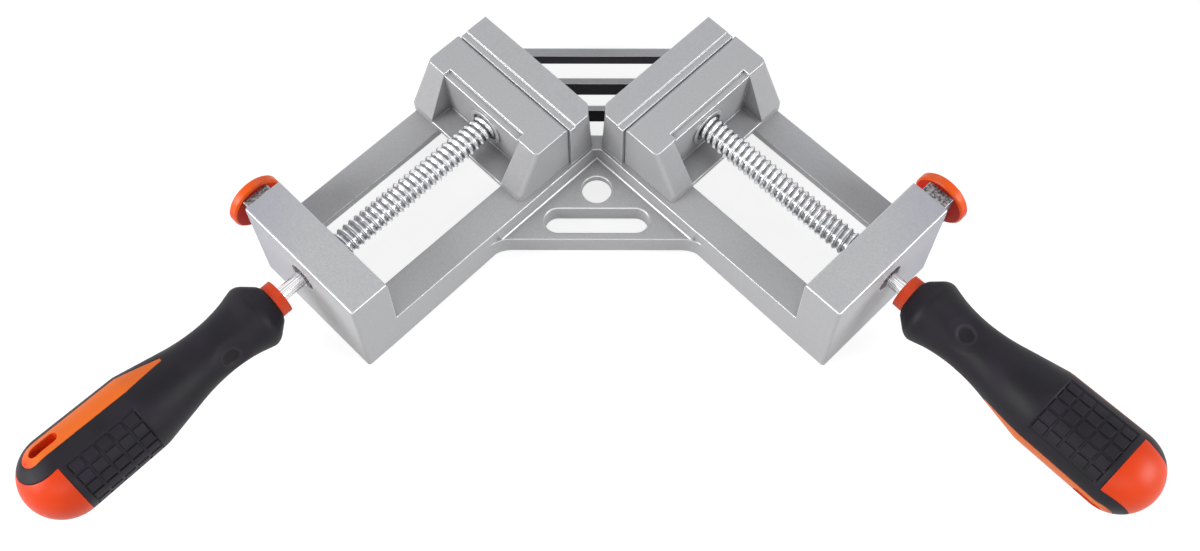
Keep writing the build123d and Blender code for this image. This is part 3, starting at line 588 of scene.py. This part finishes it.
for side in ("left", "right"):
    orange, tree = new_material(f"orange_plastic_{side}")
    edges = use(tree, rounded_edges, Width=0.0005, Gain=2.0)
    grain = use(tree, fine_grain, Grain_Size=0.0005, Wave_Size=0.008)
    through, across, along = handle_place(tree, side)
    # Painted shade: on the sides the redder colour begins at the cap's seam, and on the broad faces round the
    # band's end
    side_shade = spread(tree, calc(tree, "ABSOLUTE", across), 8.0, 9.0)
    seam_shade = spread(tree, along, COLLAR + CAP_START - 4.0, COLLAR + CAP_START - 2.0)
    band_shade = spread(tree, along, COLLAR + BAND_END - 9.0, COLLAR + BAND_END - 5.0)
    cap_shade_mask = calc(tree, "MAXIMUM", band_shade, calc(tree, "MULTIPLY", side_shade, seam_shade))
    collar_mask = spread(tree, along, COLLAR + 1.5, COLLAR + 2.5, 1.0, 0.0)
    tone = blend_colour(tree, cap_shade_mask, colour(229, 106, 28), colour(218, 56, 4))
    # Painted shade: the collar is painted redder too
    tone = blend_colour(tree, collar_mask, tone, colour(234, 66, 20))
    tone = blend_colour(tree, spread(tree, grain["Cloud"], 0.3, 0.7, 0.0, 0.18), tone, colour(246, 118, 46))
    run = calc(tree, "ABSOLUTE", calc(tree, "SUBTRACT", along, COLLAR + SLOT_AT))
    run = calc(tree, "MAXIMUM", calc(tree, "SUBTRACT", run, (SLOT_LONG - SLOT_WIDE) / 2), 0.0)
    across_squared = calc(tree, "MULTIPLY", across, across)
    from_slot = calc(tree, "SQRT", calc(tree, "MULTIPLY_ADD", run, run, across_squared))
    slot_wall = spread(tree, from_slot, SLOT_WIDE / 2 + 0.04, SLOT_WIDE / 2 + 0.16, 1.0, 0.0)
    flute = calc(tree, "SINE", calc(tree, "MULTIPLY", along, 2 * pi / FLUTE_PITCH))
    rib = calc(tree, "SINE", calc(tree, "MULTIPLY", calc(tree, "ARCTAN2", across, through), COLLAR_RIBS))
    relief = calc(tree, "MULTIPLY_ADD", flute, slot_wall, calc(tree, "MULTIPLY", rib, collar_mask))
    fluted = bump(tree, relief, 0.5, 0.0002, edges["Normal"])
    give_shader(tree, {
        "Base Color": blend_colour(tree, slot_wall, tone, colour(236, 74, 22)),
        "Roughness": spread(tree, grain["Speckle"], 0.3, 0.7, 0.38, 0.46),
        "Specular IOR Level": 0.3,
        "Normal": bump(tree, grain["Speckle"], 0.12, 0.0001, fluted)})
    dress(f"{side}_handle_core", orange)

# Handle grips: a soft black rubber skin moulded over the core, with a flange, a thumb dimple
# and on both broad sides a waffle pad of raised squares between the orange stripes.
GRIP_END = 117.5
GRIP_SKIN = 1.4
FRONT_AT, FRONT = 1.0, 8.9
FLANGE_AT, FLANGE, FLANGE_ROUND, FLANGE_ZONE = 7.6, 14.6, 4.8, 2.7
SHOULDER_AT, SHOULDER_RADIUS = 15.7, 12.4
WAIST_AT, WAIST = 29.0, 11.0
SWELL_AT, SWELL = 44.8, 12.6
BELLY_AT, BELLY, BELLY_ROUND = 64.5, 16.5, 16.0
CAP_RADIUS = 17.0
SWELL_SLOPE = (BELLY - SWELL) / (BELLY_AT - SWELL_AT)
CAP_SLOPE = (CAP_RADIUS - BELLY) / (CAP_START - BELLY_AT)
STRIPE_TIP, STRIPE_TIP_RADIUS = 47.0, 0.8
STRIPE_END, STRIPE_HALF = 109.0, 5.3
BAND_HALF = 11.3
BAND_ANGLE = asin(BAND_HALF / CAP_RADIUS)
PAD_START, PAD_END = 66.8, 97.6
PAD_ANGLE = radians(48.0)
PAD_DEPTH = 0.55
PAD_WALL, PAD_INSET = 0.3, 0.005
SEAM_DEPTH, SEAM_WIDE = 0.22, 0.45
NO_SEAM = 9.0
DIMPLE_AT, DIMPLE_RADIUS, DIMPLE_DEPTH = 26.4, 3.8, 0.9
DISH_DEPTH, DISH_REACH = 0.6, 2.0
DIMPLE_FROM, DIMPLE_TO = 21.0, 32.0


def arc_height(span, rise, x):
    """Height over the foot of a circular arc of that half span and rise, at x from its top."""
    arc_radius = (span**2 + rise**2) / (2 * rise)
    return sqrt(max(arc_radius**2 - x**2, 0.0)) - (arc_radius - rise)


def rounded_bend(s, at, height, slope_in, slope_out, bend_round):
    """Height at s of two straight lines that meet at a place and are rounded over into each other."""
    straight = height + (s - at) * (slope_in if s < at else slope_out)
    half = bend_round * (slope_in - slope_out) / 2
    return straight - max(half - abs(s - at), 0.0) ** 2 / (2 * bend_round)


def grip_radius(s):
    """Radius of the handle's surface at a distance after the collar."""
    if s <= FRONT_AT:
        return COLLAR_RADIUS + (FRONT - COLLAR_RADIUS) * s / FRONT_AT
    if s <= SHOULDER_AT:
        rise_in = (FLANGE - FRONT) / (FLANGE_AT - FRONT_AT)
        rise_out = (SHOULDER_RADIUS - FLANGE) / (SHOULDER_AT - FLANGE_AT)
        return rounded_bend(s, FLANGE_AT, FLANGE, rise_in, rise_out, FLANGE_ROUND)
    if s <= WAIST_AT:
        return WAIST + (SHOULDER_RADIUS - WAIST) * ((WAIST_AT - s) / (WAIST_AT - SHOULDER_AT)) ** 2
    if s <= SWELL_AT:
        return SWELL - arc_height(SWELL_AT - WAIST_AT, SWELL - WAIST, s - WAIST_AT)
    if s <= CAP_START:
        return rounded_bend(s, BELLY_AT, BELLY, SWELL_SLOPE, CAP_SLOPE, BELLY_ROUND)
    rise = GRIP_END - CAP_START
    dome = (rise**2 + CAP_RADIUS**2) / (2 * rise)
    return sqrt(max(dome**2 - (s - (GRIP_END - dome)) ** 2, 0.0))


def outline_half(s, half, end):
    """Half width of the stripe or band outline at a distance after the collar, with a round end."""
    if s <= STRIPE_TIP or s >= end:
        return 0.0
    if s < BELLY_AT:
        return STRIPE_TIP_RADIUS + (half - STRIPE_TIP_RADIUS) * (s - STRIPE_TIP) / (BELLY_AT - STRIPE_TIP)
    if s > end - half:
        return sqrt(max(half**2 - (s - end + half) ** 2, 0.0))
    return half


black_grip, tree = new_material("black_grip")
edges = use(tree, rounded_edges, Width=0.0003, Gain=2.0)
grain = use(tree, fine_grain, Grain_Size=0.0005, Wave_Size=0.012)
rubber = blend_colour(tree, spread(tree, grain["Speckle"], 0.3, 0.7), colour(16, 14, 20), colour(23, 20, 27))
rubber = blend_colour(tree, spread(tree, grain["Wave"], 0.4, 0.7, 0.0, 0.6), rubber, colour(37, 33, 42))
# Painted shade: the hollows, such as the gaps between the waffle squares, are painted darker
rubber = blend_colour(tree, spread(tree, edges["Hollow"], 0.08, 0.45, 0.0, 0.8), rubber, colour(8, 7, 10))
# Painted highlight: the sharp edges are painted lighter
rubber = blend_colour(tree, spread(tree, edges["Mask"], 0.0, 1.0, 0.0, 0.5), rubber, colour(70, 66, 76))
# Painted shade darkens the dimple's floor, and a painted highlight lightens its rim
dimple = put(tree, "ShaderNodeAttribute", attribute_name="dimple").outputs["Fac"]
rubber = blend_colour(tree, spread(tree, dimple, 1.15, 1.3, 0.0, 0.6), rubber, colour(9, 8, 12))
dimple_rim_highlight = calc(tree, "MULTIPLY", spread(tree, dimple, 0.7, 1.0), spread(tree, dimple, 1.0, 1.2, 0.16, 0.0))
give_shader(tree, {
    "Base Color": blend_colour(tree, dimple_rim_highlight, rubber, colour(92, 88, 98)),
    "Roughness": spread(tree, grain["Wave"], 0.3, 0.7, 0.48, 0.62),
    "Specular IOR Level": 0.22,
    "Normal": bump(tree, grain["Speckle"], 0.12, 0.0001, edges["Normal"])})


def stations(*stretches):
    """Distances along the handle from (start, end, steps) stretches, each value once."""
    values = set()
    for start, end, steps in stretches:
        values.update(round(start + (end - start) * k / steps, 4) for k in range(steps + 1))
    return sorted(values)


# The rows of the skin's grid lie closer where the flange, dimple, pad walls, seams and ends are
GRIP_STATIONS = stations(
    (0, FRONT_AT, 2), (FRONT_AT, FLANGE_AT - FLANGE_ZONE, 4),
    (FLANGE_AT - FLANGE_ZONE, FLANGE_AT + FLANGE_ZONE, 14), (FLANGE_AT + FLANGE_ZONE, SHOULDER_AT, 4),
    (SHOULDER_AT, DIMPLE_FROM, 8), (DIMPLE_FROM, DIMPLE_TO, 28), (DIMPLE_TO, STRIPE_TIP, 14),
    (STRIPE_TIP, STRIPE_TIP + 0.4, 2), (STRIPE_TIP + 0.4, BELLY_AT - 2, 16),
    (BELLY_AT - 2, PAD_START - PAD_WALL, 6), (PAD_START - PAD_WALL, PAD_START, 1),
    (PAD_START, PAD_END, 24), (PAD_END, PAD_END + PAD_WALL, 1),
    (PAD_END + PAD_WALL, CAP_START - SEAM_WIDE, 3), (CAP_START - SEAM_WIDE, CAP_START, 2),
    (CAP_START, STRIPE_END - 0.6, 12), (STRIPE_END - 0.6, STRIPE_END, 3),
    (STRIPE_END, BAND_END - 0.8, 5), (BAND_END - 0.8, BAND_END, 4))
# Its columns are shares of the way from stripe to band edge, and from there to the broad side's middle
BAND_COLUMNS = (0.0, 0.04, 0.08, 0.2, 0.4, 0.6, 0.8, 0.92, 0.96, 1.0)
SIDE_COLUMNS = (
    0.012, 0.1, 0.2, 0.3, 0.4, 0.5, 0.56, 0.62, 0.67, 0.72, 0.76, 0.8, 0.84, 0.88, 0.92, 0.96, 1.0)
pad_edge = max((pi / 2 - PAD_ANGLE - BAND_ANGLE) / (pi / 2 - BAND_ANGLE), 0.0)


def skin_row(s):
    """Angles of the stripe's edge and the band's edge at a distance, and those of the row's points."""
    surface = grip_radius(s)
    stripe = asin(min(outline_half(s, STRIPE_HALF, STRIPE_END) / surface, 1.0))
    if s > CAP_START:
        band = asin(min(outline_half(s, BAND_HALF, BAND_END) / surface, 1.0))
        return stripe, band, [stripe + (band - stripe) * share for share in BAND_COLUMNS]
    angles = [stripe + (BAND_ANGLE - stripe) * share for share in BAND_COLUMNS]
    for share in SIDE_COLUMNS:
        angles.append(BAND_ANGLE + (pi / 2 - BAND_ANGLE) * (pad_edge + (1 - pad_edge) * share))
    return stripe, BAND_ANGLE, angles


def from_dimple(s, turn):
    """Distance from the dimple's middle, in dimple radii."""
    return sqrt((s - DIMPLE_AT) ** 2 + ((pi / 2 - turn) * grip_radius(s)) ** 2) / DIMPLE_RADIUS


def sunk_depth(s, turn, stripe, band):
    """How far the skin lies below the handle's surface in the pad's field, a seam, or dish and dimple."""
    surface = grip_radius(s)
    sunk = 0.0
    if PAD_START <= s <= PAD_END and turn >= pi / 2 - PAD_ANGLE + PAD_INSET:
        sunk = PAD_DEPTH
    seam = min((turn - stripe) * surface if stripe > 0 else NO_SEAM,
               (band - turn) * surface if s > CAP_START else NO_SEAM)
    if turn > band - 1e-6 and s <= CAP_START:
        seam = min(seam, CAP_START - s)
    elif s > STRIPE_END:
        seam = min(seam, BAND_END - s)
    if seam < SEAM_WIDE:
        sunk = max(sunk, SEAM_DEPTH * (1 - seam / SEAM_WIDE) ** 2)
    away = from_dimple(s, turn)
    if away < DISH_REACH:
        sunk = DISH_DEPTH * (1 - (away / DISH_REACH) ** 3)
    if away < 1:
        sunk += DIMPLE_DEPTH * (1 - away**8)
    return sunk


def grip_mesh(side):
    """Outer surface of the grip as four mirrored quarters on a grid of distance and angle."""
    shell = bmesh.new()
    dimple_layer = shell.verts.layers.float.new("dimple")
    for through_sign in (1, -1):
        for across_sign in (1, -1):
            rows = []
            for s in GRIP_STATIONS:
                stripe, band, angles = skin_row(s)
                row = []
                for turn in angles:
                    height = (grip_radius(s) - sunk_depth(s, turn, stripe, band)) * MM
                    through = through_sign * height * cos(turn)
                    across = across_sign * height * sin(turn)
                    vertex = shell.verts.new((through, across, (s + COLLAR) * MM))
                    vertex[dimple_layer] = max(DISH_REACH - from_dimple(s, turn), 0.0)
                    row.append(vertex)
                rows.append(row)
            for first, second in zip(rows, rows[1:]):
                for k in range(min(len(first), len(second)) - 1):
                    shell.faces.new((first[k], first[k + 1], second[k + 1], second[k]))
    bmesh.ops.remove_doubles(shell, verts=shell.verts, dist=0.00002)
    bmesh.ops.dissolve_degenerate(shell, edges=shell.edges, dist=0.00001)
    bmesh.ops.recalc_face_normals(shell, faces=shell.faces)
    for face in shell.faces:
        face.smooth = True
    shell.transform(handle_frame(side))
    mesh = bpy.data.meshes.new(f"{side}_grip_skin")
    shell.to_mesh(mesh)
    shell.free()
    return mesh


for side in ("left", "right"):
    skin_mesh = grip_mesh(side)
    grip = finished(
        f"{side}_grip_skin", skin_mesh, black_grip, f"{side}_screw", "black_grip", f"{side}_handle_grip")
    wall = grip.modifiers.new("skin", "SOLIDIFY")
    wall.thickness = GRIP_SKIN * MM
    wall.offset = -1.0

# Waffle pads: rows of raised rubber squares in a sunk field on both broad sides of each grip.
# They are moulded with the grip, level with its surface, and follow its curve and taper.
PAD_ROWS = 5
PAD_PITCH_ALONG, PAD_PITCH_ACROSS = 6.2, 5.3
SQUARE_ALONG, SQUARE_ACROSS = 5.1, 4.3
SQUARE_EDGE = 0.2
SQUARE_ROOT = -0.1
PAD_MIDDLE = (PAD_START + PAD_END) / 2

waffle_pads, given, wanted = new_geometry_tree("waffle_pads", [
    ("Rows Along", "NodeSocketInt"), ("Rows Across", "NodeSocketInt"),
    ("Pitch Along", "NodeSocketFloat"), ("Pitch Across", "NodeSocketFloat"),
    ("Square Along", "NodeSocketFloat"), ("Square Across", "NodeSocketFloat"),
    ("Edge", "NodeSocketFloat"), ("Height", "NodeSocketFloat"), ("Root", "NodeSocketFloat"),
    ("Middle", "NodeSocketFloat"), ("Middle Radius", "NodeSocketFloat"), ("Radius Slope", "NodeSocketFloat"),
    ("Material", "NodeSocketMaterial")])
tree = waffle_pads
cube = put(tree, "GeometryNodeMeshCube", {
    "Size": (1, 1, 1), "Vertices X": 2, "Vertices Y": 5, "Vertices Z": 3})
corner = parts_of(tree, put(tree, "GeometryNodeInputPosition").outputs[0])
step_up = calc(tree, "ADD", corner["Z"], 0.5)
set_in = spread(tree, step_up, 0.5, 1.0, 0.0, given["Edge"])
shoulder_height = calc(tree, "SUBTRACT", given["Height"], given["Edge"])
low_part = spread(tree, step_up, 0.0, 0.5, given["Root"], shoulder_height)
square_long, square_wide = (
    calc(tree, "MULTIPLY_ADD", set_in, -2.0, given[label]) for label in ("Square Along", "Square Across"))
square_place = put(tree, "ShaderNodeCombineXYZ", {
    "X": calc(tree, "MULTIPLY", corner["X"], square_long),
    "Y": calc(tree, "MULTIPLY", corner["Y"], square_wide),
    "Z": calc(tree, "ADD", low_part, set_in)})
square = put(tree, "GeometryNodeSetPosition", {
    "Geometry": cube.outputs["Mesh"], "Position": square_place.outputs[0]})
field_long, field_wide = (
    calc(tree, "MULTIPLY", calc(tree, "SUBTRACT", given[rows], 1.0), given[pitch])
    for rows, pitch in (("Rows Along", "Pitch Along"), ("Rows Across", "Pitch Across")))
field = put(tree, "GeometryNodeMeshGrid", {
    "Size X": field_long, "Size Y": field_wide,
    "Vertices X": given["Rows Along"], "Vertices Y": given["Rows Across"]})
squares = put(tree, "GeometryNodeInstanceOnPoints", {
    "Points": field.outputs["Mesh"], "Instance": square.outputs[0]})
loose = put(tree, "GeometryNodeRealizeInstances", {"Geometry": squares.outputs[0]})
# The flat field is wrapped round the grip, and its taper is followed
flat_spot = parts_of(tree, put(tree, "GeometryNodeInputPosition").outputs[0])
field_radius = calc(tree, "MULTIPLY_ADD", flat_spot["X"], given["Radius Slope"], given["Middle Radius"])
square_radius = calc(tree, "ADD", calc(tree, "SUBTRACT", field_radius, given["Height"]), flat_spot["Z"])
square_turn = calc(tree, "DIVIDE", flat_spot["Y"], given["Middle Radius"])
wrapped_place = put(tree, "ShaderNodeCombineXYZ", {
    "X": calc(tree, "MULTIPLY", square_radius, calc(tree, "SINE", square_turn)),
    "Y": calc(tree, "MULTIPLY", square_radius, calc(tree, "COSINE", square_turn)),
    "Z": calc(tree, "ADD", flat_spot["X"], given["Middle"])})
one_pad = put(tree, "GeometryNodeSetPosition", {
    "Geometry": loose.outputs[0], "Position": wrapped_place.outputs[0]}).outputs[0]
other_pad = put(tree, "GeometryNodeTransform", {"Geometry": one_pad, "Rotation": (0.0, 0.0, pi)})
both_pads = put(tree, "GeometryNodeJoinGeometry", {"Geometry": one_pad})
tree.links.new(other_pad.outputs[0], both_pads.inputs["Geometry"])
end_geometry_tree(tree, both_pads.outputs[0], given["Material"], wanted)

for side in ("left", "right"):
    waffle_mesh = grown_mesh(f"{side}_waffle", waffle_pads, {
        "Rows Along": PAD_ROWS, "Rows Across": PAD_ROWS,
        "Pitch Along": PAD_PITCH_ALONG * MM, "Pitch Across": PAD_PITCH_ACROSS * MM,
        "Square Along": SQUARE_ALONG * MM, "Square Across": SQUARE_ACROSS * MM,
        "Edge": SQUARE_EDGE * MM, "Height": PAD_DEPTH * MM, "Root": SQUARE_ROOT * MM,
        "Middle": (PAD_MIDDLE + COLLAR) * MM, "Middle Radius": grip_radius(PAD_MIDDLE) * MM,
        "Radius Slope": CAP_SLOPE, "Material": black_grip})
    waffle_mesh.transform(handle_frame(side))
    finished(f"{side}_grip_waffle", waffle_mesh, black_grip, f"{side}_screw", "black_grip")

# Release springs: coiled from 1 mm spring wire, one in a bore of each end block behind the slider.
# Each stands on the bore's floor, and the slider's inner end shortens it by 4 mm when the knob is pushed.
BLOCK_MIDDLE = 109.2
SPRING_SEAT = 23.6
SPRING_LENGTH = 12.8
SPRING_RADIUS = 3.6
SPRING_WIRE = 0.5
SPRING_GAP = 0.1
SPRING_TURNS = 4.0

coil_spring, given, wanted = new_geometry_tree("coil_spring", [
    ("Turns", "NodeSocketFloat"), ("Coil Radius", "NodeSocketFloat"), ("Coil Height", "NodeSocketFloat"),
    ("Wire Radius", "NodeSocketFloat"), ("Steps", "NodeSocketInt"), ("Material", "NodeSocketMaterial")])
tree = coil_spring
coil = put(tree, "GeometryNodeCurveSpiral", {
    "Resolution": given["Steps"], "Rotations": given["Turns"], "Start Radius": given["Coil Radius"],
    "End Radius": given["Coil Radius"], "Height": given["Coil Height"]})
wire_round = put(tree, "GeometryNodeCurvePrimitiveCircle", {"Resolution": 12, "Radius": given["Wire Radius"]})
drawn_wire = put(tree, "GeometryNodeCurveToMesh", {
    "Curve": coil.outputs[0], "Profile Curve": wire_round.outputs[0], "Fill Caps": True})
smooth = put(tree, "GeometryNodeSetShadeSmooth", {"Geometry": drawn_wire.outputs[0], "Shade Smooth": True})
end_geometry_tree(tree, smooth.outputs[0], given["Material"], wanted)

for side in ("left", "right"):
    coil_mesh = grown_mesh(f"{side}_coil", coil_spring, {
        "Turns": SPRING_TURNS, "Coil Radius": SPRING_RADIUS * MM,
        "Coil Height": (SPRING_LENGTH - 2 * (SPRING_WIRE + SPRING_GAP)) * MM,
        "Wire Radius": SPRING_WIRE * MM, "Steps": 32, "Material": steels["spring_steel"]})
    coil_foot = arm_frame(side, BLOCK_MIDDLE, SPRING_SEAT + SPRING_WIRE + SPRING_GAP, SCREW_HEIGHT)
    quarter_turn = Matrix.Rotation(radians(90.0 if side == "right" else -90.0), 4, "X")
    coil_mesh.transform(coil_foot @ quarter_turn)
    coil_piece = finished(
        f"{side}_coil_spring", coil_mesh, steels["spring_steel"], "base", "spring_steel",
        f"{side}_release_spring")
    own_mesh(coil_piece)

# Release sliders: rough cast steel bars that stand out of the blocks' far ends.
# Each is left as cast, dull grey with a coarse skin.
cast_slider, tree = new_material("cast_slider")
edges = use(tree, rounded_edges, Width=0.0006, Gain=3.0)
grain = use(tree, fine_grain, Grain_Size=0.0011, Wave_Size=0.003)
pitted = spread(tree, grain["Speckle"], 0.4, 0.62)
iron = blend_colour(tree, pitted, colour(88, 84, 86), colour(168, 166, 168))
# Painted highlight: the sharp edges are painted lighter
give_shader(tree, {
    "Base Color": blend_colour(tree, edges["Mask"], iron, colour(205, 205, 206)),
    "Roughness": spread(tree, grain["Speckle"], 0.3, 0.7, 0.55, 0.4),
    "Metallic": 0.7,
    "Normal": bump(tree, grain["Speckle"], 0.6, 0.0004, edges["Normal"])})
for side in ("left", "right"):
    dress(f"{side}_release_slider", cast_slider)

# Release knobs: flat round discs of glossy orange plastic, pressed onto the sliders' ends.
# A painted highlight makes the rim bright, and painted shade makes the faces redder.
orange_knob, tree = new_material("orange_knob")
edges = use(tree, rounded_edges, Width=0.0006, Gain=2.0)
grain = use(tree, fine_grain, Grain_Size=0.0005, Wave_Size=0.008)
facing = parts_of(tree, put(tree, "ShaderNodeNewGeometry").outputs["Normal"])
face_on = calc(tree, "MULTIPLY", calc(tree, "ABSOLUTE", facing["X"]), calc(tree, "ABSOLUTE", facing["Y"]))
# Painted light and shade: the colour follows which way the surface faces
lit_rim_shaded_faces = blend_colour(tree, spread(tree, face_on, 0.40, 0.47), colour(240, 88, 10), colour(220, 20, 2))
cloudy = spread(tree, grain["Cloud"], 0.3, 0.7, 0.0, 0.15)
give_shader(tree, {
    "Base Color": blend_colour(tree, cloudy, lit_rim_shaded_faces, colour(250, 112, 40)),
    "Roughness": spread(tree, grain["Speckle"], 0.3, 0.7, 0.30, 0.38),
    "Specular IOR Level": 0.3,
    "Normal": bump(tree, grain["Speckle"], 0.08, 0.0001, edges["Normal"])})
for side in ("left", "right"):
    dress(f"{side}_release_knob", orange_knob)
